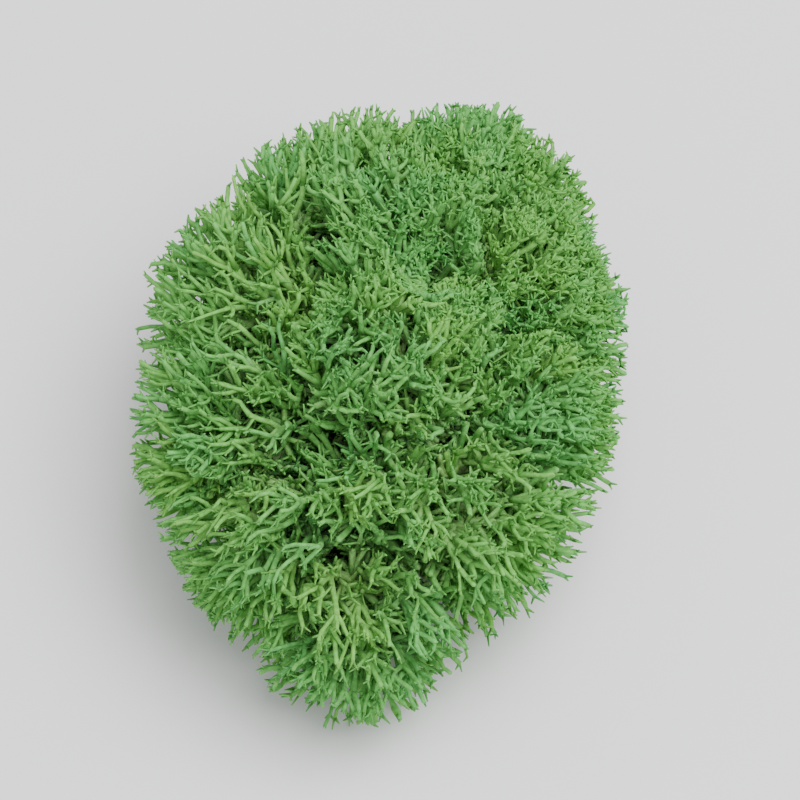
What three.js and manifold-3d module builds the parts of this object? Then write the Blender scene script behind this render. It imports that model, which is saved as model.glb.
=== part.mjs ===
// A clump of reindeer moss (a cushion lichen, Cladonia): a dozen rounded heads that grew side by side.
// Each head is one piece: a few stems that stand on the ground and fork upwards, a dense heart, and
// tufts that radiate from it. A tuft is a spray whose trunk forks in three and forks in three again.
// Neighbouring heads press against each other with a thin wall of air between them.
//
// Units are millimetres and +Z is up. The origin is on the ground, in the middle of the crown's foot.

import * as THREE from "three";
import { mergeVertices } from "three/addons/utils/BufferGeometryUtils.js";
import Module from "manifold-3d";

const wasm = await Module();
wasm.setup();

// ---- Driving dimensions -----------------------------------------------------------------------

// Each head: the centre of its round top, its radius, and how many stems carry it.
const HEADS = [
  { name: "head_crown", x: -0.5, y: -1, z: 29.5, r: 13.5, stems: 1 },
  { name: "head_crown_back", x: 1, y: 13.5, z: 27, r: 12.5, stems: 3 },
  { name: "head_back_right", x: 8, y: 22.5, z: 20.5, r: 12, stems: 3 },
  { name: "head_back_left", x: -6.5, y: 20, z: 21.5, r: 12, stems: 3 },
  { name: "head_left_back", x: -15, y: 9.5, z: 22, r: 12.5, stems: 3 },
  { name: "head_right_back", x: 12, y: 10.5, z: 22.5, r: 12, stems: 3 },
  { name: "head_right", x: 11.5, y: -3, z: 21, r: 11.5, stems: 3 },
  { name: "head_left", x: -16, y: -4, z: 21, r: 12.5, stems: 3 },
  { name: "head_front_right", x: 7.5, y: -13.5, z: 20, r: 11.5, stems: 3 },
  { name: "head_front_left", x: -12.5, y: -15, z: 18.5, r: 11.5, stems: 3 },
  { name: "head_front", x: -2.5, y: -14.5, z: 23.5, r: 11.5, stems: 3 },
  { name: "head_front_low", x: -4.5, y: -23, z: 13.5, r: 10.5, stems: 3 },
];

const GAP = 0.3; // clear air between two neighbouring heads
const WALL_LEAN = 0.25; // the most that the wall between a high and a low head leans, as a slope

const UNDERSIDE_STRETCH = 1.3; // a head hangs lower than it is wide
const LOWEST_TUFT = -0.55; // how far round towards the underside tufts grow: the cosine from straight up
const SHELTERED = -0.15; // and how far round where the rest of the clump hides them
const OUTER_SIDE = 0.2; // what counts as a head's outer side: the cosine from straight outwards
const LOWEST_TWIG = 1.2; // no tuft reaches closer to the ground

const TUFT_SPACING = 7.9; // between neighbouring tufts on a head
const TUFT_JITTER = 0.35; // how unevenly they sit, as a share of that spacing
const TUFT_ROOM = 0.2; // a tuft's fork stands this far inside its head's own room
const UPTURN = 0.25; // how much a tuft's tips turn up towards the light
const STRAIGHTENED = 0.3; // how far a branch turns back to the way the tuft grows

const HEART_SHARE = 0.6; // the dense heart's radius over the head's
const HEART_DETAIL = 1; // subdivisions of the icosahedron it starts from
const TRUNK_SUNK = 1.4; // how deep a tuft's trunk starts inside the heart

const TRUNK = { depth: 3.2, radius: 1.1 }; // its fork lies this deep under the head's surface
const BRANCH = { length: 2.6, radius: 0.85, spread: 64 }; // spread is the angle from the trunk, in degrees
const TIP = { length: 2.6, spread: 48 };
const FORK_PEAK = 0.45; // a fork's middle stands this share of its radius above its rim
const LENGTH_VARIES = 0.18; // branches and tips are longer or shorter by up to this share

const STEM = { foot: 1.25, fork: 0.95, sides: 4 }; // radii on the ground and at the fork
const LIMB = { start: 0.77, top: 0.85, sides: 3 }; // radii of the two limbs above the fork
const CROWN_FOOT = 2; // radius of the crown's one stem, on the ground
const FOOT_SHARE = 0.62; // a head's feet stand at this share of its distance from the middle
const FEET_APART = 2.8; // from the middle of a head's ground to each of its feet
const STEM_FORK_HEIGHT = 0.4; // where a stem forks, as a share of the head's height
const LIMB_SPREAD = 3; // how far its two limbs part by the time they reach the heart
const LIMB_TOP_BELOW = 0.3; // and how far under the head's centre they end, as a share of its radius

const SLIVER = 0.02; // edges shorter than this left by joining are drawn together
const BRANCH_SEED = 438; // picks the draws behind each tuft
const BEND_PASSES = 12;
const BEND_OVERSHOOT = 1.02;

// ---- Small helpers ----------------------------------------------------------------------------

const GOLDEN_ANGLE = Math.PI * (3 - Math.sqrt(5));
const ROW_SPACING = Math.sqrt(3) / 2; // between the rows of an even triangular pattern, as a share
const UP = new THREE.Vector3(0, 0, 1);

// The same draws on every run: the mulberry32 generator.
function seededRandom(seed) {
  let state = seed >>> 0;
  return () => {
    state = (state + 0x6d2b79f5) >>> 0;
    let mixed = Math.imul(state ^ (state >>> 15), state | 1);
    mixed ^= mixed + Math.imul(mixed ^ (mixed >>> 7), mixed | 61);
    return ((mixed ^ (mixed >>> 14)) >>> 0) / 4294967296;
  };
}

function solidOf(points, triangles) {
  const vertProperties = new Float32Array(points.flatMap((p) => [p.x, p.y, p.z]));
  const triVerts = new Uint32Array(triangles.flat());
  return new wasm.Manifold(new wasm.Mesh({ numProp: 3, vertProperties, triVerts }));
}

// The same solid without the shortest edges that joining leaves: each is drawn together to a point,
// the shortest first, unless that would pinch the surface.
function withoutSlivers(solid) {
  const mesh = solid.getMesh();
  const points = [];
  for (let i = 0; i < mesh.vertProperties.length; i += 3) {
    points.push(new THREE.Vector3().fromArray(mesh.vertProperties, i));
  }
  let triangles = [];
  for (let i = 0; i < mesh.triVerts.length; i += 3) triangles.push([...mesh.triVerts.slice(i, i + 3)]);
  for (let edge = shortEdge(points, triangles); edge; edge = shortEdge(points, triangles)) {
    const [kept, dropped] = edge;
    points[kept].lerp(points[dropped], 0.5);
    triangles = triangles
      .filter((corners) => !(corners.includes(kept) && corners.includes(dropped)))
      .map((corners) => corners.map((i) => (i === dropped ? kept : i)));
  }
  const used = [...new Set(triangles.flat())];
  const place = new Map(used.map((i, k) => [i, k]));
  const renumbered = triangles.map((corners) => corners.map((i) => place.get(i)));
  return solidOf(used.map((i) => points[i]), renumbered);
}

// The shortest edge under SLIVER whose two ends share just the two corners of its own triangles.
function shortEdge(points, triangles) {
  const short = [];
  for (const corners of triangles) {
    for (let k = 0; k < 3; k++) {
      const [a, b] = [corners[k], corners[(k + 1) % 3]];
      const length = points[a].distanceTo(points[b]);
      if (a < b && length < SLIVER) short.push({ a, b, length });
    }
  }
  short.sort((one, two) => one.length - two.length);
  const neighbours = (i) => new Set(triangles.filter((corners) => corners.includes(i)).flat());
  const found = short.find(({ a, b }) => {
    const others = neighbours(b);
    return [...neighbours(a)].filter((i) => i !== a && i !== b && others.has(i)).length === 2;
  });
  return found && [found.a, found.b];
}

function geometryOf(solid) {
  const mesh = solid.getMesh();
  const geometry = new THREE.BufferGeometry();
  geometry.setAttribute("position", new THREE.BufferAttribute(mesh.vertProperties, 3));
  geometry.setIndex(new THREE.BufferAttribute(mesh.triVerts, 1));
  geometry.computeVertexNormals();
  return geometry;
}

const centreOf = (head) => new THREE.Vector3(head.x, head.y, head.z);

// ---- The room that each head has to itself ----------------------------------------------------

// The plane that parts two heads goes through the circle where their round tops would meet. A lower
// neighbour's wall leans over it, but never so far that the higher head has no ground of its own.
// A point p is on the head's side of a wall where normal . p <= offset.
function wallsOf(head) {
  const own = centreOf(head);
  return HEADS.filter((other) => other !== head).map((other) => {
    const between = centreOf(other).sub(own);
    const share = (between.lengthSq() + head.r ** 2 - other.r ** 2) / (2 * between.lengthSq());
    const through = own.clone().addScaledVector(between, share);
    const most = WALL_LEAN * Math.hypot(between.x, between.y);
    const rise = THREE.MathUtils.clamp(between.z, -most, most);
    const normal = between.setZ(rise).normalize();
    return { normal, offset: normal.dot(through) };
  });
}

// How far inside its walls a point is; less than nothing outside them.
const roomAt = (walls, point) => Math.min(...walls.map((w) => w.offset - w.normal.dot(point)));

// Bends a point clear of the walls, to at least clearance inside all of them, and above the ground.
function bendClear(walls, point, clearance, lowest = -Infinity) {
  const bent = point.clone();
  for (let pass = 0; pass < BEND_PASSES; pass++) {
    for (const { normal, offset } of walls) {
      const over = normal.dot(bent) - (offset - clearance);
      if (over > 0) bent.addScaledVector(normal, -over * BEND_OVERSHOOT);
    }
    bent.z = Math.max(bent.z, lowest);
  }
  return bent;
}

// ---- The heart: the dense middle that the tufts stand out of ----------------------------------

// The distance from a head's centre to its surface: round above, drawn out below.
function radiusTowards(head, direction) {
  const down = Math.max(0, -direction.z);
  return head.r * (1 + (UNDERSIDE_STRETCH - 1) * down * down);
}

function heartSolid(head, walls) {
  const ball = new THREE.IcosahedronGeometry(1, HEART_DETAIL);
  ball.deleteAttribute("normal");
  ball.deleteAttribute("uv");
  const merged = mergeVertices(ball);
  const position = merged.getAttribute("position");
  const points = [];
  for (let i = 0; i < position.count; i++) {
    const direction = new THREE.Vector3().fromBufferAttribute(position, i).normalize();
    const reach = HEART_SHARE * radiusTowards(head, direction);
    points.push(bendClear(walls, centreOf(head).addScaledVector(direction, reach), GAP / 2));
  }
  const index = merged.getIndex().array;
  const triangles = [];
  for (let i = 0; i < index.length; i += 3) triangles.push([...index.slice(i, i + 3)]);
  return solidOf(points, triangles);
}

// ---- The tufts --------------------------------------------------------------------------------

// Directions from a head's centre to its tufts: an even spiral, a little shaken.
function tuftDirections(head, number) {
  const random = seededRandom(number + 1);
  const area = 4 * Math.PI * head.r ** 2;
  const count = Math.round(area / (ROW_SPACING * TUFT_SPACING ** 2));
  const shake = (TUFT_JITTER * TUFT_SPACING) / head.r;
  const directions = [];
  for (let k = 0; k < count; k++) {
    const rise = Math.max(-1, Math.min(1, 1 - (2 * k + 1) / count + (random() - 0.5) * shake));
    const across = Math.sqrt(1 - rise * rise);
    const turn = k * GOLDEN_ANGLE + number + ((random() - 0.5) * shake) / Math.max(across, 0.3);
    directions.push(new THREE.Vector3(across * Math.cos(turn), across * Math.sin(turn), rise));
  }
  return directions;
}

// Whether a tuft grows there: not where a neighbour presses, nor on the hidden underside.
function grows(head, walls, direction) {
  const outward = new THREE.Vector3(head.x, head.y, 0).normalize();
  const lowest = direction.dot(outward) > OUTER_SIDE ? LOWEST_TUFT : SHELTERED;
  const reach = radiusTowards(head, direction) - TRUNK.depth;
  const site = centreOf(head).addScaledVector(direction, reach);
  return direction.z > lowest && roomAt(walls, site) > TUFT_ROOM;
}

// A branch with three sides grows from a triangle of three points and ends in a smaller triangle.
// Its corners keep the places round its axis that they have on the base, so that it isn't twisted.
function growBranch(spray, base, end, axis, radius) {
  const middle = new THREE.Vector3();
  base.forEach((i) => middle.addScaledVector(spray.points[i], 1 / 3));
  const ring = base.map((i) => {
    const out = spray.points[i].clone().sub(middle);
    out.addScaledVector(axis, -out.dot(axis)).normalize();
    spray.points.push(end.clone().addScaledVector(out, radius));
    return spray.points.length - 1;
  });
  for (let k = 0; k < 3; k++) {
    const next = (k + 1) % 3;
    spray.triangles.push([base[k], base[next], ring[next]], [base[k], ring[next], ring[k]]);
  }
  return ring;
}

// The three triangles of a fork, which meet at a peak in the middle of a branch's end. Each one is
// the base of a branch, and comes with the sideways direction that the branch takes.
function forkOf(spray, ring, end, axis, radius) {
  spray.points.push(end.clone().addScaledVector(axis, FORK_PEAK * radius));
  const peak = spray.points.length - 1;
  return ring.map((corner, k) => {
    const next = ring[(k + 1) % 3];
    const side = spray.points[corner].clone().add(spray.points[next]).multiplyScalar(0.5).sub(end);
    side.addScaledVector(axis, -side.dot(axis)).normalize();
    return { base: [corner, next, peak], side };
  });
}

function tilted(axis, side, degrees) {
  const angle = THREE.MathUtils.degToRad(degrees);
  return axis.clone().multiplyScalar(Math.cos(angle)).addScaledVector(side, Math.sin(angle));
}

// One tuft: a trunk rooted in the heart, three branches, and three tips on each branch.
function tuftSolid(head, walls, direction, random) {
  const centre = centreOf(head);
  const surface = radiusTowards(head, direction);
  const inHeart = HEART_SHARE * surface - TRUNK_SUNK;
  const root = bendClear(walls, centre.clone().addScaledVector(direction, inHeart), TRUNK.radius + GAP);
  const wanted = centre.clone().addScaledVector(direction, surface - TRUNK.depth);
  const fork = bendClear(walls, wanted, TRUNK.radius + GAP, LOWEST_TWIG + BRANCH.length);
  const trunkAxis = fork.clone().sub(root).normalize();
  const varied = () => 1 + (random() * 2 - 1) * LENGTH_VARIES;

  const spray = { points: [], triangles: [] };
  const side = new THREE.Vector3(1, 0, 0).cross(trunkAxis);
  if (side.lengthSq() < 0.05) side.set(0, 1, 0).cross(trunkAxis);
  side.normalize().applyAxisAngle(trunkAxis, random() * Math.PI * 2);
  for (let k = 0; k < 3; k++) {
    const out = side.clone().applyAxisAngle(trunkAxis, (k * Math.PI * 2) / 3);
    spray.points.push(root.clone().addScaledVector(out, TRUNK.radius));
  }
  spray.triangles.push([0, 2, 1]);

  const growth = direction.clone().addScaledVector(UP, UPTURN).normalize();
  const ring = growBranch(spray, [0, 1, 2], fork, trunkAxis, TRUNK.radius);
  for (const branch of forkOf(spray, ring, fork, trunkAxis, TRUNK.radius)) {
    const heading = tilted(trunkAxis, branch.side, BRANCH.spread);
    const reach = BRANCH.length * varied();
    const aim = fork.clone().addScaledVector(heading, reach);
    const end = bendClear(walls, aim, BRANCH.radius + GAP / 2, LOWEST_TWIG + TIP.length / 2);
    const turned = end.clone().sub(fork).normalize().lerp(growth, STRAIGHTENED).normalize();
    const tips = growBranch(spray, branch.base, end, turned, BRANCH.radius);
    for (const tip of forkOf(spray, tips, end, turned, BRANCH.radius)) {
      const point = tilted(turned, tip.side, TIP.spread).multiplyScalar(TIP.length * varied()).add(end);
      spray.points.push(bendClear(walls, point, GAP / 2, LOWEST_TWIG));
      const apex = spray.points.length - 1;
      const [a, b, c] = tip.base;
      spray.triangles.push([a, b, apex], [b, c, apex], [c, a, apex]);
    }
  }
  return solidOf(spray.points, spray.triangles);
}

// ---- The stems --------------------------------------------------------------------------------

// A tube through stations of level rings, flat at both ends.
function levelTube(stations, sides) {
  const points = [];
  const triangles = [];
  for (const { at, radius } of stations) {
    for (let k = 0; k < sides; k++) {
      const turn = (k * 2 * Math.PI) / sides;
      points.push(new THREE.Vector3(radius * Math.cos(turn), radius * Math.sin(turn), 0).add(at));
    }
  }
  for (let s = 0; s + 1 < stations.length; s++) {
    for (let k = 0; k < sides; k++) {
      const [a, b] = [s * sides + k, s * sides + ((k + 1) % sides)];
      triangles.push([a, b, b + sides], [a, b + sides, a + sides]);
    }
  }
  const top = (stations.length - 1) * sides;
  for (let k = 1; k + 1 < sides; k++) {
    triangles.push([0, k + 1, k], [top, top + k, top + k + 1]);
  }
  return solidOf(points, triangles);
}

// A stem stands flat on the ground, forks once, and its two limbs end inside the heart.
function stemSolids(head, walls, foot, footRadius, turn) {
  const centre = centreOf(head);
  const forkHeight = STEM_FORK_HEIGHT * head.z;
  const fork = foot.clone().lerp(centre, STEM_FORK_HEIGHT);
  const clearFork = bendClear(walls, fork, STEM.fork + GAP / 2).setZ(forkHeight);
  const stations = [
    { at: foot, radius: footRadius },
    { at: clearFork, radius: STEM.fork },
  ];
  const parts = [levelTube(stations, STEM.sides)];
  for (const half of [0, Math.PI]) {
    const out = new THREE.Vector3(Math.cos(turn + half), Math.sin(turn + half), 0);
    const top = centre.clone().addScaledVector(out, LIMB_SPREAD);
    const clearTop = bendClear(walls, top, LIMB.top + GAP / 2).setZ(head.z - head.r * LIMB_TOP_BELOW);
    const limb = [
      { at: clearFork.clone().setZ(forkHeight - STEM.fork), radius: LIMB.start },
      { at: clearTop, radius: LIMB.top },
    ];
    parts.push(levelTube(limb, LIMB.sides));
  }
  return parts;
}

function allStems(head, walls) {
  if (head.stems === 1) return stemSolids(head, walls, new THREE.Vector3(), CROWN_FOOT, 0);
  const middle = new THREE.Vector3(head.x, head.y, 0).multiplyScalar(FOOT_SHARE);
  const stems = [];
  for (let k = 0; k < head.stems; k++) {
    const turn = (k * 2 * Math.PI) / head.stems + head.x + head.y;
    const out = new THREE.Vector3(Math.cos(turn), Math.sin(turn), 0);
    const foot = middle.clone().addScaledVector(out, FEET_APART);
    const clearFoot = bendClear(walls, foot, STEM.foot + GAP / 2).setZ(0);
    stems.push(...stemSolids(head, walls, clearFoot, STEM.foot, turn + Math.PI / 2));
  }
  return stems;
}

// ---- One head, and the clump ------------------------------------------------------------------

function headSolid(head, number) {
  const walls = wallsOf(head);
  const random = seededRandom(BRANCH_SEED + number);
  const tufts = tuftDirections(head, number)
    .filter((direction) => grows(head, walls, direction))
    .map((direction) => tuftSolid(head, walls, direction, random));
  const joined = wasm.Manifold.union([heartSolid(head, walls), ...allStems(head, walls), ...tufts]);
  const largest = joined.decompose().reduce((one, other) => (other.volume() > one.volume() ? other : one));
  return withoutSlivers(largest);
}

const LIVE_GREEN = new THREE.Color(0x4f8a3f);
const clump = new THREE.Group();
clump.name = "reindeer_moss_clump";
HEADS.forEach((head, number) => {
  const material = new THREE.MeshStandardMaterial({ color: LIVE_GREEN, roughness: 0.9, metalness: 0 });
  const mesh = new THREE.Mesh(geometryOf(headSolid(head, number)), material);
  mesh.name = head.name;
  clump.add(mesh);
});

export default clump;
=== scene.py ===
"""Dresses the reindeer moss clump: every head of the frame is replaced by one of finely forked branchlets.

A head grows the way the lichen does. Stems rise from the ground and fork, again and again, and the
last forks are whorls of tips, whose points split once more. The whorls stand two to three millimetres
apart under the cushion's rounded surface, in which the heads flow together, and every head keeps to the
room that the walls to its neighbours leave it in the frame. Side shoots fill the depth.
"""

import math
from typing import NamedTuple

import bpy
import numpy as np
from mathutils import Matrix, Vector


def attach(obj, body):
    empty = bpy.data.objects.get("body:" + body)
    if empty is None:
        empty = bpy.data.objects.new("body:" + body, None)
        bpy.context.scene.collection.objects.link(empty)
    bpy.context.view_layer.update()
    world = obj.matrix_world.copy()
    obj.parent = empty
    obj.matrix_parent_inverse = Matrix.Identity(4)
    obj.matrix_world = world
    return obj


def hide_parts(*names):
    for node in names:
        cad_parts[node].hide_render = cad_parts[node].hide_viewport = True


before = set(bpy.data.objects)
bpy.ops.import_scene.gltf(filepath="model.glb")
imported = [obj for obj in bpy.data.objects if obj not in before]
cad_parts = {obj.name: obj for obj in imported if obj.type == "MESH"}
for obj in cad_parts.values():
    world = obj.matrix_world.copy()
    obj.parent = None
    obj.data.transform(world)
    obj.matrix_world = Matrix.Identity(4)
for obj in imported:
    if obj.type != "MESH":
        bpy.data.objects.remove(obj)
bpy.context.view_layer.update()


# ---- Kinds of dimensions -------------------------------------------------------------------------


class Wave(NamedTuple):
    """A slow wave through space."""

    height: float
    length: float
    phase: float


class Order(NamedTuple):
    """One order of branching: its length and thickness, and how finely its tubes are meshed."""

    length: float
    spread: float  # from its parent's way
    radii: tuple
    growth: tuple  # from 0 at the ground to 1 at the very tips
    sides: int
    rings: int


class Gathering(NamedTuple):
    """How forks gather under fewer ones, from which a stalk rises to each."""

    spacing: float  # of those fewer ones
    stalk: float  # the length of a stalk
    lift: float  # how much more than what they carry they point up
    clearance: float  # from a wall
    lowest: float  # height above the ground


# ---- Driving dimensions, in millimetres and degrees ----------------------------------------------

# The centre of each head's round top and its radius, as in the frame's own source.
HEADS = {
    "head_crown": (-0.5, -1, 29.5, 13.5),
    "head_crown_back": (1, 13.5, 27, 12.5),
    "head_back_right": (8, 22.5, 20.5, 12),
    "head_back_left": (-6.5, 20, 21.5, 12),
    "head_left_back": (-15, 9.5, 22, 12.5),
    "head_right_back": (12, 10.5, 22.5, 12),
    "head_right": (11.5, -3, 21, 11.5),
    "head_left": (-16, -4, 21, 12.5),
    "head_front_right": (7.5, -13.5, 20, 11.5),
    "head_front_left": (-12.5, -15, 18.5, 11.5),
    "head_front": (-2.5, -14.5, 23.5, 11.5),
    "head_front_low": (-4.5, -23, 13.5, 10.5),
}
# Of some that were tried, these seeds let the floor show through least. The last four heads are in front.
GROWTH_SEEDS = 8 * (400,) + 4 * (1700,)
GAP = 0.3  # clear air between two neighbouring heads
WALL_LEAN = 0.25  # the most that the wall between a high and a low head leans, as a slope
WALL_RIPPLE = Wave(1.6, 7.0, 0.7)  # how a wall waves to either side
BEND_ROUNDS = 8  # of moving points clear of the walls
BEND = 1.02  # how much of its way out a point goes in one: a little over all of it, as walls ripple

# The cushion's surface.
UNDERSIDE_STRETCH = 1.3  # a head hangs lower than it is wide
FLOW = 2.8  # how softly the heads' round tops flow into one surface
BUMPS = Wave(0.8, 7.0, 1.3)  # the small swellings on it
PROUD = 0.9  # no branchlet ends further outside it
SEARCHED = (0.15, 1.4)  # it is looked for between these, in radii from a head's centre
HALVINGS = 14  # of that stretch

# The small hollows between the branchlets, as the photograph shows them: how far right of the middle and
# how far up in its view, and their radius.
HOLLOWS = (
    (3.4, 15.2, 3.9),
    (-7.9, 12.8, 2.2),
    (-11.3, 10.2, 1.9),
    (6.2, 2.6, 2.5),
    (1.2, 0.0, 1.5),
    (-7.6, -6.2, 2.6),
    (-18.8, -1.9, 2.1),
    (-10.5, 18.6, 1.8),
    (-3.8, 7.2, 1.2),
    (-6.2, -20.5, 1.8),
)
VIEW = 62  # how steeply the photograph looks down
HOLLOW_DEPTH = 11.0  # the most that the surface dips in a hollow: a narrow one is less deep
HOLLOW_STRETCH = 0.65  # along the photograph's view: 0 would be a ball, and 1 a shaft without an end
HOLLOW_EDGE = 4  # how steep its sides are
HOLLOW_SHARE = 0.25  # of as many whorls grow in it
HOLLOW_LEAN = 76  # how far its branchlets lean
# How far from its middle something happens, in radii: branchlets lie side by side, stalks are bare of
# shoots, branchlets lean down, and they curl round its rim.
LINED_UP = 0.8
BARE = 1.15
LEANING = 1.4
CURLING = 1.7
# Where a hollow meets the surface is found by steps inwards, from outside the cushion.
FAR_OUTSIDE = 60.0
STEPS_IN = 40
STEP_IN = 0.7  # how much of the distance that is left a step goes

# How branchlets stand.
PARTING = np.array([-4.0, -6.0, 24.0])  # they lean away from here, as if combed
TURNING = Wave(1.2, 17.0, 2.0)  # how the combing turns to either side, in radians
STRAY = 0.4  # how far each branchlet turns beside it, in radians
DENSE = np.array([11.0, 12.0, 33.0])  # the middle of where they stand dense and upright
DENSE_REACH = (10, 26)  # they do so up to the one distance from there, and not at all past the other
PATCHES = Wave(0.3, 13.0, 0.4)  # where they lean as if looser or denser beside that
UNEVEN_LEAN = 0.15  # how much each one does so
LEAN = (18, 62)  # how far they lean from the surface's own way out: where dense, and where loose
STEEP_SHARE = 0.3  # how much of that lean is left where the surface is upright
LIFT = (0.2, 0.6)  # how much they turn up: under the surface, and deep down
CURL = 0.35  # how unevenly they bend

# Whorls of tips.
WHORL_DEPTH = 2.7  # under the cushion's surface
WHORL_SPACING = 2.1  # where they are dense
LOOSE_SHARE = 0.56  # of as many grow where they are loose
FILL = ((4, 8, 11, 14), (1, 1, 0.6, 0.2))  # the share of them that grow, by depth under the surface
FILL_BY_WAY = (2.1, 1.5)  # and by their way: so much if level and so much more if straight up, at most 1
LOWEST_WHORL = 2.0  # above the ground
SHALLOW, BURIED = 2.0, 5.0  # depths between which they turn from surface ones to inner, plainer ones
SHAKE = 0.22  # how far from an even spread, as a share of the spacing
SUNK = (0.4, 0.3, 0.3)  # how unevenly branches, twigs and whorls stand under the surface
DRAWN = 0.15  # how far whorls draw together over their twig, as a share of the way
WALL_ROOM = 0.5  # from a wall
WALL_CLEARANCE = (0.2, 0.8)  # the same, when they are placed for good
TIP_SIZE = (0.6, 1.25)  # where dense, and where loose
FEWER_TIPS = 0.8  # how much more seldom a loose whorl has one tip more

# The orders of branching, from the tips down.
POINT = Order(1.0, 42, (0.2, 0.08), (0.95, 1.0), 3, 2)
TIP = Order(2.7, 32, (0.3, 0.22), (0.82, 0.95), 5, 4)
INNER_TIP = Order(1.8, 42, (0.3, 0.14), (0.5, 0.7), 3, 2)
STALK = Order(3.6, 0, (0.37, 0.33), (0.6, 0.82), 5, 4)
INNER_STALK = Order(3.2, 0, (0.34, 0.3), (0.4, 0.5), 4, 3)
TWIG = Order(3.2, 0, (0.45, 0.38), (0.4, 0.6), 5, 4)
BRANCH = Order(3.0, 0, (0.5, 0.46), (0.2, 0.4), 5, 4)
STEM = Order(0, 0, (0.46, 0.5), (0.0, 0.2), 5, 9)
SIDE = Order(1.5, 12, (0.27, 0.2), (0.65, 0.8), 3, 2)
SIDE_TIP = Order(1.0, 46, (0.2, 0.08), (0.8, 0.95), 3, 2)
SHOOT = Order(2.1, 12, (0.33, 0.27), (0.45, 0.65), 4, 2)
SHOOT_TIP = Order(1.3, 46, (0.27, 0.12), (0.65, 0.8), 3, 2)
SPUR = Order(2.6, 12, (0.34, 0.26), (0.2, 0.35), 4, 2)
SPUR_TIP = Order(1.4, 46, (0.24, 0.1), (0.35, 0.5), 3, 2)

# The forks under the whorls.
TWIGS = Gathering(4.6, STALK.length, 0.0, 0.5, 1.8)
BRANCHES = Gathering(8.0, TWIG.length, 0.1, 0.7, 2.2)
LIMBS = Gathering(11.5, BRANCH.length, 0.3, 0.8, 3.0)
FEWEST = 4  # a head starts with no fewer of them
GROUP_SHAKE = 0.2  # how far from an even spread they start, as a share of the spacing
GROUP_ROUNDS = 3  # of moving each to the middle of what it carries

# The children of a fork. The first leads on in its parent's way, and the others spread and stay shorter.
LEADER = (0.55, 1.2)  # how far it leans and reaches, as shares of what its order does
OTHERS = (1.15, 0.85)
BOW = (1.6, 0.4)  # a child leaves at more than its lean, and ends at less
UNEVEN_SPREAD = 0.18
UNEVEN_TURN = 0.25  # in radians
REACH = (0.75, 1.2)
TRIES = 4  # at finding room for a child
SHORTER = 0.7  # how much of its reach it keeps after each that fails
LOWEST = 0.6  # no branchlet but the stems comes nearer the ground
SPLAY = 0.8  # how much a stalk leaves its fork sideways
ARC_PULL = 0.9  # how far lines keep to the ways that they leave and arrive in

# Side shoots: how many a stalk, a twig, a branch and a stretch of stem have.
SIDES_PER_STALK = 1
SHOOTS_PER_TWIG = 6
SPURS_PER_BRANCH = 7
SPURS_PER_STRETCH = 4
SHOOT_ROOTS = (0.15, 1.0)  # where along the stalk
SHOOT_LEAN = (35, 85)

# Stems.
FOOT_SHARE = 0.62  # a head's feet stand at this share of its distance from the middle
FEET_SPREAD = 3.8  # how far from there they stand
INNERMOST = 0.3  # how far from the middle the first of them stands, in steps
FOOT_SLANT = 0.15
FOOT_STEP = 0.5  # how far above the ground the highest of them ends
STEM_SWAY = (0.9, 0.5)  # to one side, and to and fro
STEM_TINT_SPREAD = 0.5

# Tubes.
WOBBLE = 0.2  # of their middle rings, in radii
POINTED = 0.9  # how far the closing apex stands out, in radii
FLARE = 0.1  # how much thicker they are at both ends
UNEVEN_THICKNESS = 0.1
LUMPY = 0.07

# Colour along the growth from the ground to the tips: position, red, green and blue.
YELLOWER = (
    (0, 0.36, 0.40, 0.22),
    (0.4, 0.27, 0.48, 0.15),
    (0.7, 0.185, 0.45, 0.09),
    (1, 0.165, 0.45, 0.08),
)
BLUER = (
    (0, 0.30, 0.38, 0.23),
    (0.4, 0.20, 0.45, 0.15),
    (0.7, 0.135, 0.42, 0.11),
    (1, 0.115, 0.41, 0.1),
)
TINT_SPREAD = 0.6  # of a branch, and of a twig beside it
TINT_RANGE = 1.5  # a tint this far to either side is wholly yellower or bluer

MM = 0.001
GOLDEN_ANGLE = math.pi * (3 - math.sqrt(5))
ROW_SPACING = math.sqrt(3) / 2
UP = np.array([0.0, 0.0, 1.0])
LOOKED_AT = np.array([0.0, 0.0, 20.0])  # what the camera looks at
TO_CAMERA = np.array([0.0, -math.cos(math.radians(VIEW)), math.sin(math.radians(VIEW))])
RIGHTWARDS = np.array([1.0, 0.0, 0.0])
UPWARDS = np.cross(TO_CAMERA, RIGHTWARDS)  # in the photograph's view
CROSSING = RIGHTWARDS + 0.7 * UPWARDS  # the way that branchlets lie side by side in a hollow
CENTRES = np.array([place[:3] for place in HEADS.values()], dtype=float)
RADII = np.array([place[3] for place in HEADS.values()], dtype=float)


# ---- Vectors, many at a time ---------------------------------------------------------------------


def unit(vectors):
    return vectors / np.maximum(np.linalg.norm(vectors, axis=-1, keepdims=True), 1e-9)


def along(vectors, axes):
    return (vectors * axes).sum(axis=-1, keepdims=True)


def across(vectors):
    """Two directions square to each vector and to each other."""
    nearly_upright = 0.9
    helper = np.where(np.abs(vectors[..., 2:3]) < nearly_upright, UP, RIGHTWARDS)
    first = unit(np.cross(vectors, helper))
    return first, np.cross(vectors, first)


def tilted(axes, turns, angles):
    """Directions that lean away from the axes by the angles, each towards its turn round the axis."""
    first, second = across(axes)
    side = first * np.cos(turns)[..., None] + second * np.sin(turns)[..., None]
    return axes * np.cos(angles)[..., None] + side * np.sin(angles)[..., None]


def spiral(count, random, shake):
    """Directions spread evenly over a sphere, a little shaken."""
    rise = 1 - (2 * np.arange(count) + 1) / count
    ring = np.sqrt(1 - rise**2)
    turn = np.arange(count) * GOLDEN_ANGLE
    directions = np.stack([ring * np.cos(turn), ring * np.sin(turn), rise], axis=1)
    return unit(directions + random.normal(0, shake, directions.shape))


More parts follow.
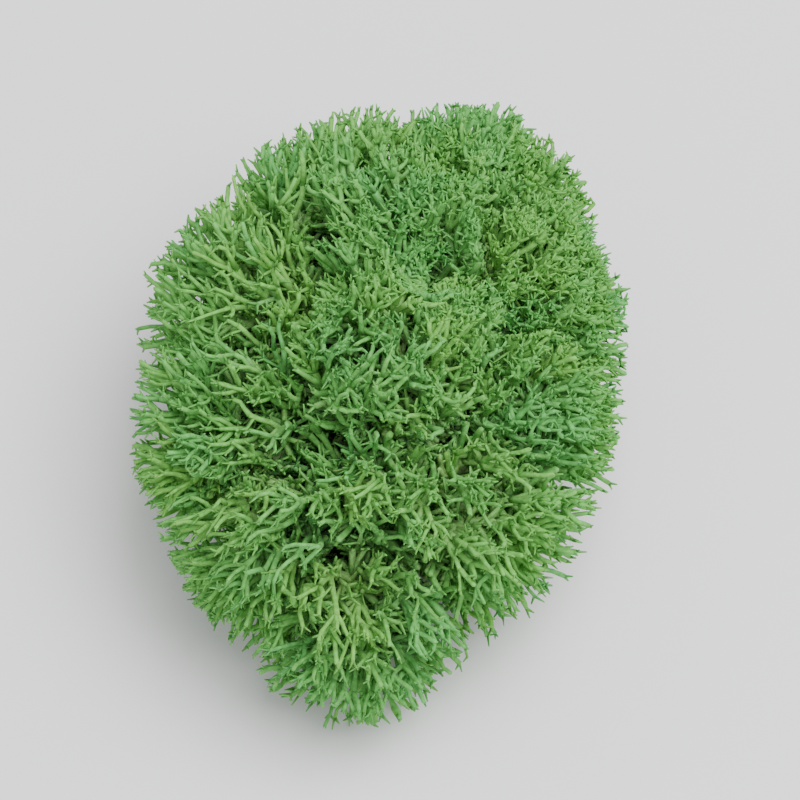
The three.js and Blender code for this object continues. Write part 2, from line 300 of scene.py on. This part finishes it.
def spaced(radius, spacing):
    """How many places so far apart there are on a sphere."""
    return round(4 * math.pi * radius**2 / (ROW_SPACING * spacing**2))


def arcs(starts, ends, start_ways, end_ways, rings):
    """Smooth lines from starts to ends that leave and arrive in the given directions."""
    span = np.linalg.norm(ends - starts, axis=-1)[:, None, None] * ARC_PULL
    t = np.linspace(0, 1, rings)[None, :, None]
    a, b = starts[:, None], ends[:, None]
    u, v = start_ways[:, None] * span, end_ways[:, None] * span
    return (
        (2 * t**3 - 3 * t**2 + 1) * a
        + (t**3 - 2 * t**2 + t) * u
        + (3 * t**2 - 2 * t**3) * b
        + (t**3 - t**2) * v
    )


def ripple(points, wave):
    """A wave's height at each point: the mean of three plane waves in different directions."""
    k = 2 * math.pi / wave.length
    x, y, z = points[..., 0], points[..., 1], points[..., 2]
    mean = (
        np.sin(k * (0.82 * x + 0.46 * y + 0.34 * z) + wave.phase)
        + np.sin(k * (-0.37 * x + 0.79 * y + 0.49 * z) + 2 * wave.phase)
        + np.sin(k * (0.45 * x - 0.31 * y + 0.84 * z) + 3 * wave.phase)
    ) / 3
    return wave.height * mean


def averaged(values, parents):
    """The mean of each parent's values."""
    total = np.zeros((parents.max() + 1, values.shape[-1]))
    np.add.at(total, parents, values)
    return total / np.bincount(parents)[:, None]


# ---- The cushion's surface and each head's room --------------------------------------------------


def cushion(points):
    """How far points lie outside the cushion's surface, which dips into the hollows."""
    return rounded(points) + HOLLOW_DEPTH * hollowness(points, 1).sum(axis=-1)


def rounded(points):
    """How far points lie outside the rounded surface in which the heads' tops flow together."""
    away = points[..., None, :] - CENTRES
    length = np.linalg.norm(away, axis=-1)
    down = np.maximum(0, -away[..., 2] / length)
    outside = length / (1 + (UNDERSIDE_STRETCH - 1) * down**2) - RADII
    merged = -FLOW * np.log(np.exp(-outside / FLOW).sum(axis=-1))
    return merged - ripple(points, BUMPS)


def outward(points):
    """The way straight out of the cushion's surface."""
    step = 0.5
    slope = [cushion(points + step * axis) - cushion(points - step * axis) for axis in np.eye(3)]
    return unit(np.stack(slope, axis=-1))


def hollow_places():
    """Where the hollows are on the surface: found by going in along the photograph's view."""
    right, up = np.array(HOLLOWS).T[:2, :, None]
    near = FAR_OUTSIDE * np.ones_like(right)
    for _ in range(STEPS_IN):
        places = LOOKED_AT + right * RIGHTWARDS + up * UPWARDS + near * TO_CAMERA
        near -= STEP_IN * rounded(places)[:, None]
    return places


def hollowness(points, reach):
    """How deep in each hollow points are, from 0 to 1 in its middle, over so many times its radius.

    A hollow is longer than wide and goes in the way that the photograph looks.
    """
    beside = points[..., None, :] - HOLLOW_PLACES
    inwards = along(beside, TO_CAMERA) * TO_CAMERA
    away = np.linalg.norm(beside - HOLLOW_STRETCH * inwards, axis=-1)
    return np.exp(-((away / (reach * HOLLOW_RADII)) ** HOLLOW_EDGE))


class Head:
    """The place that one head of the frame has."""

    def __init__(self, number):
        self.centre = CENTRES[number]
        self.radius = RADII[number]
        self.random = np.random.default_rng(GROWTH_SEEDS[number] + number)
        self.walls = [self.wall(number, other) for other in range(len(HEADS)) if other != number]

    def wall(self, own, other):
        """The plane that parts this head from another, as in the frame's source, and its ripple's sign."""
        between = CENTRES[other] - self.centre
        square = between @ between
        share = (square + self.radius**2 - RADII[other] ** 2) / (2 * square)
        through = self.centre + between * share
        most = WALL_LEAN * math.hypot(between[0], between[1])
        between[2] = min(max(between[2], -most), most)
        normal = unit(between)
        return normal, normal @ through, (1 if own < other else -1)

    def over(self, points, wall):
        """How far beyond a wall points are."""
        normal, offset, sign = wall
        return points @ normal - offset - sign * ripple(points, WALL_RIPPLE)

    def room(self, points):
        """How far inside all its walls each point is."""
        return -np.max([self.over(points, wall) for wall in self.walls], axis=0) - GAP / 2

    def bend_clear(self, points, clearance, lowest=-math.inf):
        """Moves points that are too near a wall or the ground to where they are clear of it."""
        bent = np.array(points, dtype=float)
        for _ in range(BEND_ROUNDS):
            for wall in self.walls:
                over = self.over(bent, wall) + clearance + GAP / 2
                bent -= np.maximum(over, 0)[..., None] * wall[0] * BEND
            bent[..., 2] = np.maximum(bent[..., 2], lowest)
        return bent

    def surface(self, directions, depth, room):
        """The points so far under the cushion's surface, or so far inside a wall, in those directions.

        They are found by halving the stretch that they must lie in, again and again.
        """
        nearest, furthest = SEARCHED
        near = np.full(len(directions), nearest * self.radius)
        far = np.full(len(directions), furthest * self.radius)
        for _ in range(HALVINGS):
            middle = (near + far) / 2
            points = self.centre + directions * middle[:, None]
            outside = (cushion(points) > -depth) | (self.room(points) < room)
            far = np.where(outside, middle, far)
            near = np.where(outside, near, middle)
        return self.centre + directions * near[:, None]


HOLLOW_PLACES = hollow_places()
HOLLOW_RADII = np.array([radius for right, up, radius in HOLLOWS])


# ---- Tubes ---------------------------------------------------------------------------------------


class Tubes:
    """Collects closed round tubes and makes one mesh of them."""

    def __init__(self, random):
        self.random = random
        self.points, self.growth, self.tint = [], [], []
        self.quads, self.fans, self.caps = [], [], {}
        self.count = 0

    def add(self, lines, order, tints):
        """Tubes along lines (tube, ring, xyz), as thick and as fine as the order says."""
        tubes, rings = lines.shape[:2]
        sides = order.sides
        lines = lines.copy()
        lines[:, 1:-1] += self.random.normal(0, WOBBLE * order.radii[1], lines[:, 1:-1].shape)
        points = self.rings(lines, order)
        apex = lines[:, -1:] + unit(lines[:, -1:] - lines[:, -2:-1]) * order.radii[1] * POINTED
        each = rings * sides + 1
        self.points.append(np.concatenate([points.reshape(tubes, -1, 3), apex], axis=1).reshape(-1, 3))
        grown = np.append(np.repeat(np.linspace(*order.growth, rings), sides), order.growth[1])
        self.growth.append(np.tile(grown, tubes))
        self.tint.append(np.repeat(tints, each))
        self.add_faces(tubes, rings, sides, self.count + np.arange(tubes)[:, None, None] * each)
        self.count += tubes * each

    def add_faces(self, tubes, rings, sides, base):
        """Quads between the rings, a fan round each apex and a cap on each foot."""
        step = np.arange(rings - 1)[None, :, None] * sides
        side = np.arange(sides)[None, None, :]
        after = (side + 1) % sides
        low, high = base + step, base + step + sides
        self.quads.append(np.stack([low + side, low + after, high + after, high + side], -1).reshape(-1, 4))
        base, side, after = base[:, 0], side[0], after[0]
        last = base + (rings - 1) * sides
        tip = np.broadcast_to(base + rings * sides, (tubes, sides))
        self.fans.append(np.stack([last + side, last + after, tip], -1).reshape(-1, 3))
        self.caps.setdefault(sides, []).append(base + side[:, ::-1])

    def rings(self, lines, order):
        """The corners of every ring, square to its line, thicker at both ends and a little lumpy."""
        ahead = unit(np.gradient(lines, axis=1))
        first, _ = across(unit(lines[:, -1] - lines[:, 0]))
        first = unit(first[:, None, :] - ahead * along(first[:, None, :], ahead))
        second = np.cross(ahead, first)
        turn = np.arange(order.sides)[None, None, :, None] * 2 * math.pi / order.sides
        spokes = first[:, :, None, :] * np.cos(turn) + second[:, :, None, :] * np.sin(turn)
        t = np.linspace(-1, 1, lines.shape[1])
        radii = np.linspace(*order.radii, lines.shape[1]) * (1 + FLARE * t**4)
        thickness = self.random.normal(1, UNEVEN_THICKNESS, (len(lines), 1))
        lumpy = radii * (thickness + self.random.normal(0, LUMPY, lines.shape[:2]))
        return lines[:, :, None, :] + spokes * lumpy[:, :, None, None]

    def mesh(self, name):
        """One mesh of all the tubes, with nothing below the ground, so that the stems' feet are flat."""
        points = np.concatenate(self.points)
        points[:, 2] = np.maximum(points[:, 2], 0)
        faces = [np.concatenate(self.quads), np.concatenate(self.fans)]
        faces += [np.concatenate(caps) for caps in self.caps.values()]
        corners = np.concatenate([face.reshape(-1) for face in faces]).astype(np.int32)
        sizes = np.concatenate([np.full(len(face), face.shape[1]) for face in faces])
        mesh = bpy.data.meshes.new(name)
        mesh.vertices.add(len(points))
        mesh.vertices.foreach_set("co", (points * MM).astype(np.float32).reshape(-1))
        mesh.loops.add(len(corners))
        mesh.loops.foreach_set("vertex_index", corners)
        mesh.polygons.add(len(sizes))
        mesh.polygons.foreach_set("loop_start", (np.cumsum(sizes) - sizes).astype(np.int32))
        mesh.polygons.foreach_set("use_smooth", np.ones(len(sizes), dtype=bool))
        for title, values in (("growth", self.growth), ("tint", self.tint)):
            layer = mesh.attributes.new(title, "FLOAT", "POINT")
            layer.data.foreach_set("value", np.concatenate(values).astype(np.float32))
        mesh.update(calc_edges=True)
        mesh.validate()
        return mesh


# ---- Where one head's forks are ------------------------------------------------------------------


class Level(NamedTuple):
    """The forks of one order: their places and ways, and the fork of the level below that carries each."""

    places: np.ndarray
    ways: np.ndarray
    parents: np.ndarray

    def only(self, some):
        return Level(self.places[some], self.ways[some], self.parents[some])


def looseness(points):
    """From 0, where branchlets stand dense and upright, to 1, where they lie loose and combed."""
    return np.interp(np.linalg.norm(points - DENSE, axis=-1), DENSE_REACH, (0, 1))


def whorl_directions(head):
    """Where whorls come out: all over the top, fewer below and where a neighbour presses."""
    count = spaced(head.radius, WHORL_SPACING)
    directions = spiral(count, head.random, SHAKE * WHORL_SPACING / head.radius)
    sites = head.surface(directions, WHORL_DEPTH, WALL_ROOM)
    level_share, rising_share = FILL_BY_WAY
    share = np.clip(level_share + rising_share * directions[:, 2], 0, 1)
    share *= np.interp(-cushion(sites), *FILL)
    near_surface = -cushion(sites) < BURIED
    share *= np.where(near_surface, np.interp(looseness(sites), (0, 1), (1, LOOSE_SHARE)), 1)
    share *= np.interp(hollowness(sites, 1).max(axis=-1), (0, 1), (1, HOLLOW_SHARE))
    keep = (head.random.random(len(directions)) < share) & (sites[:, 2] > LOWEST_WHORL)
    return directions[keep]


def grouped(head, directions, spacing):
    """Gathers directions under fewer ones, spaced apart. Returns those and each direction's own."""
    count = max(FEWEST, spaced(head.radius, spacing))
    sites = spiral(count, head.random, GROUP_SHAKE * spacing / head.radius)
    for _ in range(GROUP_ROUNDS):
        _, parents = np.unique(np.argmax(directions @ sites.T, axis=1), return_inverse=True)
        sites = unit(averaged(directions, parents))
    used, parents = np.unique(np.argmax(directions @ sites.T, axis=1), return_inverse=True)
    return sites[used], parents


def parted(head, sites, out):
    """The way along the surface in which branchlets lean away from the parting."""
    away = sites - PARTING
    away = unit(away - out * along(away, out))
    turn = ripple(sites, TURNING) + head.random.normal(0, STRAY, sites.shape[:-1])
    turn = turn[..., None]
    return away * np.cos(turn) + np.cross(out, away) * np.sin(turn)


def hollow_combed(sites, out, away):
    """That way again, turned round the rim of a hollow, and across it in its middle."""
    beside = sites[..., None, :] - HOLLOW_PLACES
    near = hollowness(sites, CURLING)[..., None]
    swirl = (np.cross(out[..., None, :], unit(beside)) * near).sum(axis=-2)
    away = unit(away * (1 - near.max(axis=-2)) + swirl)
    inside = hollowness(sites, LINED_UP).max(axis=-1)[..., None]
    crossing = unit(CROSSING - out * along(CROSSING, out))
    return unit(away * (1 - inside) + 2 * crossing * inside)


def combed(head, sites):
    """The way that branchlets point there: out of the surface, leaning away from the parting.

    They curl round the rim of a hollow, and in it they lie side by side. Deep down they point away from
    the middle of their head, and up.
    """
    out = outward(sites)
    away = hollow_combed(sites, out, parted(head, sites, out))
    loose = looseness(sites) + ripple(sites, PATCHES)
    loose = loose + head.random.normal(0, UNEVEN_LEAN, sites.shape[:-1])
    lean = np.radians(np.interp(loose, (0, 1), LEAN))[..., None]
    lean = lean * np.clip(STEEP_SHARE + out[..., 2:3], 0, 1)
    lean = np.maximum(lean, math.radians(HOLLOW_LEAN) * hollowness(sites, LEANING).max(axis=-1)[..., None])
    surface_lift, inner_lift = LIFT
    surface_way = out * np.cos(lean) + away * np.sin(lean) + surface_lift * UP
    buried = np.clip((-cushion(sites) - SHALLOW) / (BURIED - SHALLOW), 0, 1)[..., None]
    inner_way = unit(sites - head.centre) + inner_lift * UP
    return unit(surface_way * (1 - buried) + inner_way * buried)


def gathered(head, upper, parents, gathering):
    """The level below an upper one: each fork is a stalk's length below those that it carries."""
    ways = unit(averaged(upper.ways, upper.parents) + gathering.lift * UP)
    places = averaged(upper.places, upper.parents) - ways * gathering.stalk
    return Level(head.bend_clear(places, gathering.clearance, gathering.lowest), ways, parents)


def place_forks(head):
    """Places one head's forks from the top down. Returns its four levels and the tint of each twig.

    The limbs, at the bottom, have no parents: stems carry them.
    """
    random = head.random
    directions = whorl_directions(head)
    twig_directions, twig_of = grouped(head, directions, TWIGS.spacing)
    branch_directions, branch_of = grouped(head, twig_directions, BRANCHES.spacing)
    _, limb_of = grouped(head, branch_directions, LIMBS.spacing)
    twig_count, branch_count = len(twig_directions), len(branch_directions)

    branch_sunk, twig_sunk, whorl_sunk = SUNK
    sunk = random.normal(0, branch_sunk, branch_count)[branch_of] + random.normal(0, twig_sunk, twig_count)
    tints = random.normal(0, TINT_SPREAD, branch_count)[branch_of]
    tints = tints + random.normal(0, TINT_SPREAD, twig_count)
    depth = WHORL_DEPTH + sunk[twig_of] + random.normal(0, whorl_sunk, len(directions))
    drawn = unit((1 - DRAWN) * directions + DRAWN * twig_directions[twig_of])
    places = head.surface(drawn, depth, random.uniform(*WALL_CLEARANCE, len(directions)))

    whorls = Level(places, combed(head, places), twig_of)
    twigs = gathered(head, whorls, branch_of, TWIGS)
    branches = gathered(head, twigs, limb_of, BRANCHES)
    limbs = gathered(head, branches, None, LIMBS)
    return whorls, twigs, branches, limbs, tints


# ---- Growing one head ----------------------------------------------------------------------------


def two_or_three(random, count):
    return random.integers(2, 4, count)


def grow(head):
    """One head's tubes, from the tips down to the stems."""
    tubes = Tubes(head.random)
    whorls, twigs, branches, limbs, tints = place_forks(head)
    branch_tints = averaged(tints[:, None], twigs.parents)[:, 0]

    buried = -cushion(whorls.places) > BURIED
    grow_whorls(head, tubes, twigs, whorls.only(~buried), tints, STALK, TIP)
    grow_whorls(head, tubes, twigs, whorls.only(buried), tints, INNER_STALK, INNER_TIP)
    stalks(head, tubes, branches, twigs, TWIG, tints)
    stalks(head, tubes, limbs, branches, BRANCH, branch_tints)

    starts = branches.places[twigs.parents]
    side_shoots(head, tubes, starts, twigs.places, tints, SHOOTS_PER_TWIG, SHOOT, SHOOT_TIP)
    starts = limbs.places[branches.parents]
    side_shoots(head, tubes, starts, branches.places, branch_tints, SPURS_PER_BRANCH, SPUR, SPUR_TIP)
    grow_stems(head, tubes, limbs)
    return tubes


def grow_whorls(head, tubes, twigs, whorls, tints, stalk, tip):
    """Whorls of tips with their stalks. Those at the surface have split points and side shoots too."""
    random = head.random
    tints = tints[whorls.parents]
    stalks(head, tubes, twigs, whorls, stalk, tints)
    loose = looseness(whorls.places)
    number = two_or_three(random, len(loose)) + (random.random(len(loose)) > FEWER_TIPS * loose)
    size = np.interp(loose, (0, 1), TIP_SIZE)
    tips = fork(head, tubes, whorls.places, whorls.ways, tints, number, tip, size)
    if tip is TIP:
        loose = looseness(tips[0])
        number = 2 + (random.random(len(loose)) > loose)
        fork(head, tubes, *tips, number, POINT)
        starts = twigs.places[whorls.parents]
        side_shoots(head, tubes, starts, whorls.places, tints, SIDES_PER_STALK, SIDE, SIDE_TIP)


def stalks(head, tubes, lower, upper, order, tints):
    """One curved stalk to each upper fork. It leaves its parent at a wide angle and turns up to its way."""
    starts, start_ways = lower.places[upper.parents], lower.ways[upper.parents]
    ways = unit(upper.places - starts)
    sideways = ways - start_ways * along(ways, start_ways)
    curl = head.random.normal(0, CURL, ways.shape)
    lines = arcs(starts, upper.places, unit(ways + SPLAY * sideways + curl), upper.ways, order.rings)
    tubes.add(head.bend_clear(lines, order.radii[1]), order, tints)


def fork(head, tubes, starts, ways, tints, number, order, size=None):
    """Grows a number of children from each start. Returns where they end, their ways and tints.

    One that would cross a wall, leave the cushion or reach the ground stays shorter, and one with no
    room stays away.
    """
    random = head.random
    owner = np.repeat(np.arange(len(starts)), number)
    first = np.cumsum(number) - number
    place = (np.arange(len(owner)) - first[owner]) / number[owner] + random.random(len(starts))[owner]
    turn = 2 * math.pi * place + random.normal(0, UNEVEN_TURN, len(owner))
    leads = np.arange(len(owner)) == first[owner]
    lean = np.radians(order.spread * random.normal(1, UNEVEN_SPREAD, len(owner)))
    lean = lean * np.where(leads, LEADER[0], OTHERS[0])
    out = tilted(ways[owner], turn, lean * BOW[0])
    on = tilted(ways[owner], turn, lean * BOW[1])
    middle = unit(out + on)
    on = unit(on + random.normal(0, CURL, on.shape))
    reach = order.length * random.uniform(*REACH, len(owner)) * np.where(leads, LEADER[1], OTHERS[1])
    if size is not None:
        reach *= size[owner]
    for _ in range(TRIES):
        ends = starts[owner] + middle * reach[:, None]
        free = (head.room(ends) > order.radii[1]) & (ends[:, 2] > LOWEST) & (cushion(ends) < PROUD)
        reach = np.where(free, reach, SHORTER * reach)
    lines = arcs(starts[owner], ends, out, on, order.rings)[free]
    tints = tints[owner][free]
    tubes.add(lines, order, tints)
    return ends[free], on[free], tints


def side_shoots(head, tubes, starts, ends, tints, number, shoot, tip):
    """Forked shoots out of the side of each stalk, which fill the depth between the stalks.

    Stalks in a hollow are bare, so that it stays open and dark.
    """
    random = head.random
    owner = np.repeat(np.arange(len(starts)), number)
    share = random.uniform(*SHOOT_ROOTS, (len(owner), 1))
    roots = starts[owner] * (1 - share) + ends[owner] * share
    grown = random.random(len(owner)) > hollowness(roots, BARE).max(axis=-1)
    owner, roots = owner[grown], roots[grown]
    turn = random.uniform(0, 2 * math.pi, len(owner))
    lean = np.radians(random.uniform(*SHOOT_LEAN, len(owner)))
    ways = tilted(unit(ends - starts)[owner], turn, lean)
    one = np.ones(len(owner), dtype=int)
    shoots = fork(head, tubes, roots, ways, tints[owner], one, shoot)
    fork(head, tubes, *shoots, two_or_three(random, len(shoots[0])), tip)


def grow_stems(head, tubes, limbs):
    """A stem from the ground to each limb, with dead spurs. Their feet are torn off at uneven heights."""
    random = head.random
    count = len(limbs.places)
    middle = np.array([head.centre[0], head.centre[1], 0]) * FOOT_SHARE
    turn = np.arange(count) * GOLDEN_ANGLE + random.uniform(0, 2 * math.pi)
    out = np.stack([np.cos(turn), np.sin(turn), 0 * turn], axis=1)
    apart = FEET_SPREAD * np.sqrt((np.arange(count) + INNERMOST) / count)
    feet = head.bend_clear(middle + out * apart[:, None], STEM.radii[0])
    feet[:, 2] = FOOT_STEP * random.permutation(count) / count
    lines = arcs(feet, limbs.places, unit(UP + out * FOOT_SLANT), limbs.ways, STEM.rings)
    t = np.linspace(0, math.pi, STEM.rings)[None, :, None]
    sway = np.sin(t) * random.normal(0, STEM_SWAY[0], (count, 1, 3))
    sway += np.sin(2 * t) * random.normal(0, STEM_SWAY[1], (count, 1, 3))
    lines = head.bend_clear(lines + sway * np.array([1, 1, 0]), STEM.radii[0])
    tints = random.normal(0, STEM_TINT_SPREAD, count)
    tubes.add(lines, STEM, tints)
    for low in range(1, STEM.rings - 2, 2):
        starts, ends = lines[:, low], lines[:, low + 2]
        side_shoots(head, tubes, starts, ends, tints, SPURS_PER_STRETCH, SPUR, SPUR_TIP)


# ---- Materials -----------------------------------------------------------------------------------


def add_node(tree, kind, **settings):
    node = tree.nodes.new(kind)
    for name, value in settings.items():
        setattr(node, name, value)
    return node


def colour_ramp(tree, stops):
    """A colour ramp through (position, red, green, blue) stops."""
    node = add_node(tree, "ShaderNodeValToRGB")
    elements = node.color_ramp.elements
    while len(elements) < len(stops):
        elements.new(0.5)
    for element, (position, *colour) in zip(elements, stops):
        element.position = position
        element.color = (*colour, 1)
    return node


def noise(tree, place, scale, detail):
    """A noise texture with so many waves to a metre."""
    node = add_node(tree, "ShaderNodeTexNoise")
    node.inputs["Scale"].default_value = scale
    node.inputs["Detail"].default_value = detail
    tree.links.new(place.outputs["Object"], node.inputs["Vector"])
    return node


def lichen_colour(tree):
    """The colour along the growth, between yellower and bluer by each twig's own tint."""
    link = tree.links.new
    growth = add_node(tree, "ShaderNodeAttribute", attribute_name="growth")
    tint = add_node(tree, "ShaderNodeAttribute", attribute_name="tint")
    yellower = colour_ramp(tree, YELLOWER)
    bluer = colour_ramp(tree, BLUER)
    link(growth.outputs["Fac"], yellower.inputs["Fac"])
    link(growth.outputs["Fac"], bluer.inputs["Fac"])
    share = add_node(tree, "ShaderNodeMapRange")
    share.inputs["From Min"].default_value = -TINT_RANGE
    share.inputs["From Max"].default_value = TINT_RANGE
    link(tint.outputs["Fac"], share.inputs["Value"])
    mix = add_node(tree, "ShaderNodeMix", data_type="RGBA")
    link(share.outputs["Result"], mix.inputs["Factor"])
    link(yellower.outputs["Color"], mix.inputs[6])
    link(bluer.outputs["Color"], mix.inputs[7])
    return mix.outputs[2]


def lichen_material():
    """Straw-pale stems, deep green branches and lighter tips, mottled and finely grained."""
    material = bpy.data.materials.new("dyed_lichen")
    material.use_nodes = True
    tree = material.node_tree
    link = tree.links.new
    shader = tree.nodes["Principled BSDF"]
    place = add_node(tree, "ShaderNodeTexCoord")

    mottle = noise(tree, place, 1500, 3)
    brightness = add_node(tree, "ShaderNodeMapRange")
    brightness.inputs["From Min"].default_value = 0.3
    brightness.inputs["From Max"].default_value = 0.7
    brightness.inputs["To Min"].default_value = 0.74
    brightness.inputs["To Max"].default_value = 1.26
    link(mottle.outputs["Fac"], brightness.inputs["Value"])
    mottled = add_node(tree, "ShaderNodeVectorMath", operation="SCALE")
    link(lichen_colour(tree), mottled.inputs[0])
    link(brightness.outputs["Result"], mottled.inputs["Scale"])
    link(mottled.outputs["Vector"], shader.inputs["Base Color"])

    grain = noise(tree, place, 4500, 2)
    bump = add_node(tree, "ShaderNodeBump")
    bump.inputs["Strength"].default_value = 0.6
    bump.inputs["Distance"].default_value = 0.08 * MM
    link(grain.outputs["Fac"], bump.inputs["Height"])
    link(bump.outputs["Normal"], shader.inputs["Normal"])

    shader.inputs["Roughness"].default_value = 0.85
    shader.inputs["Specular IOR Level"].default_value = 0.2
    shader.inputs["Sheen Weight"].default_value = 0.05
    shader.inputs["Sheen Roughness"].default_value = 0.5
    shader.inputs["Sheen Tint"].default_value = (0.7, 1.0, 0.55, 1)
    return material


# ---- Floor, light and camera, in metres ----------------------------------------------------------


def make_floor():
    bpy.ops.mesh.primitive_plane_add(size=3, location=(0, 0, 0))
    floor = bpy.context.object
    floor.name = "floor"
    material = bpy.data.materials.new("floor")
    material.use_nodes = True
    shader = material.node_tree.nodes["Principled BSDF"]
    shader.inputs["Base Color"].default_value = (0.86, 0.86, 0.87, 1)
    shader.inputs["Roughness"].default_value = 0.9
    floor.data.materials.append(material)


def facing(thing, target):
    """Turns a lamp or camera to face the target."""
    thing.rotation_mode = "QUATERNION"
    thing.rotation_quaternion = (thing.location - target).to_track_quat("Z", "Y")


def make_light():
    """A bright even surrounding, and one large soft lamp from above on the right."""
    world = bpy.data.worlds.new("studio")
    bpy.context.scene.world = world
    world.use_nodes = True
    background = world.node_tree.nodes["Background"]
    background.inputs["Color"].default_value = (1, 1, 1, 1)
    background.inputs["Strength"].default_value = 0.83
    light = bpy.data.lights.new("softbox", "AREA")
    light.shape = "RECTANGLE"
    light.size, light.size_y = 0.5, 0.4
    light.energy = 5
    lamp = bpy.data.objects.new("softbox", light)
    lamp.location = (0.16, -0.02, 0.56)
    facing(lamp, Vector(LOOKED_AT * MM))
    bpy.context.collection.objects.link(lamp)


def make_camera():
    """The photograph's way of looking down on the clump, from as far, through a longer lens."""
    distance = 0.9
    seen_width = 0.088
    target = Vector(LOOKED_AT * MM)
    data = bpy.data.cameras.new("camera")
    data.sensor_width = 36
    data.lens = data.sensor_width * distance / seen_width
    camera = bpy.data.objects.new("camera", data)
    camera.location = target + Vector(TO_CAMERA) * distance
    facing(camera, target)
    bpy.context.collection.objects.link(camera)
    bpy.context.scene.camera = camera


# ---- Making it -----------------------------------------------------------------------------------


def make_head(name, number, material):
    """The branchlets of one head, in place of the frame's own solid."""
    piece_name = name + "_branchlets"
    piece = bpy.data.objects.new(piece_name, grow(Head(number)).mesh(piece_name))
    piece.data.materials.append(material)
    bpy.context.collection.objects.link(piece)
    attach(piece, "root")
    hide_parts(name)


make_floor()
make_light()
make_camera()
moss = lichen_material()
for place_number, head_name in enumerate(HEADS):
    make_head(head_name, place_number, moss)
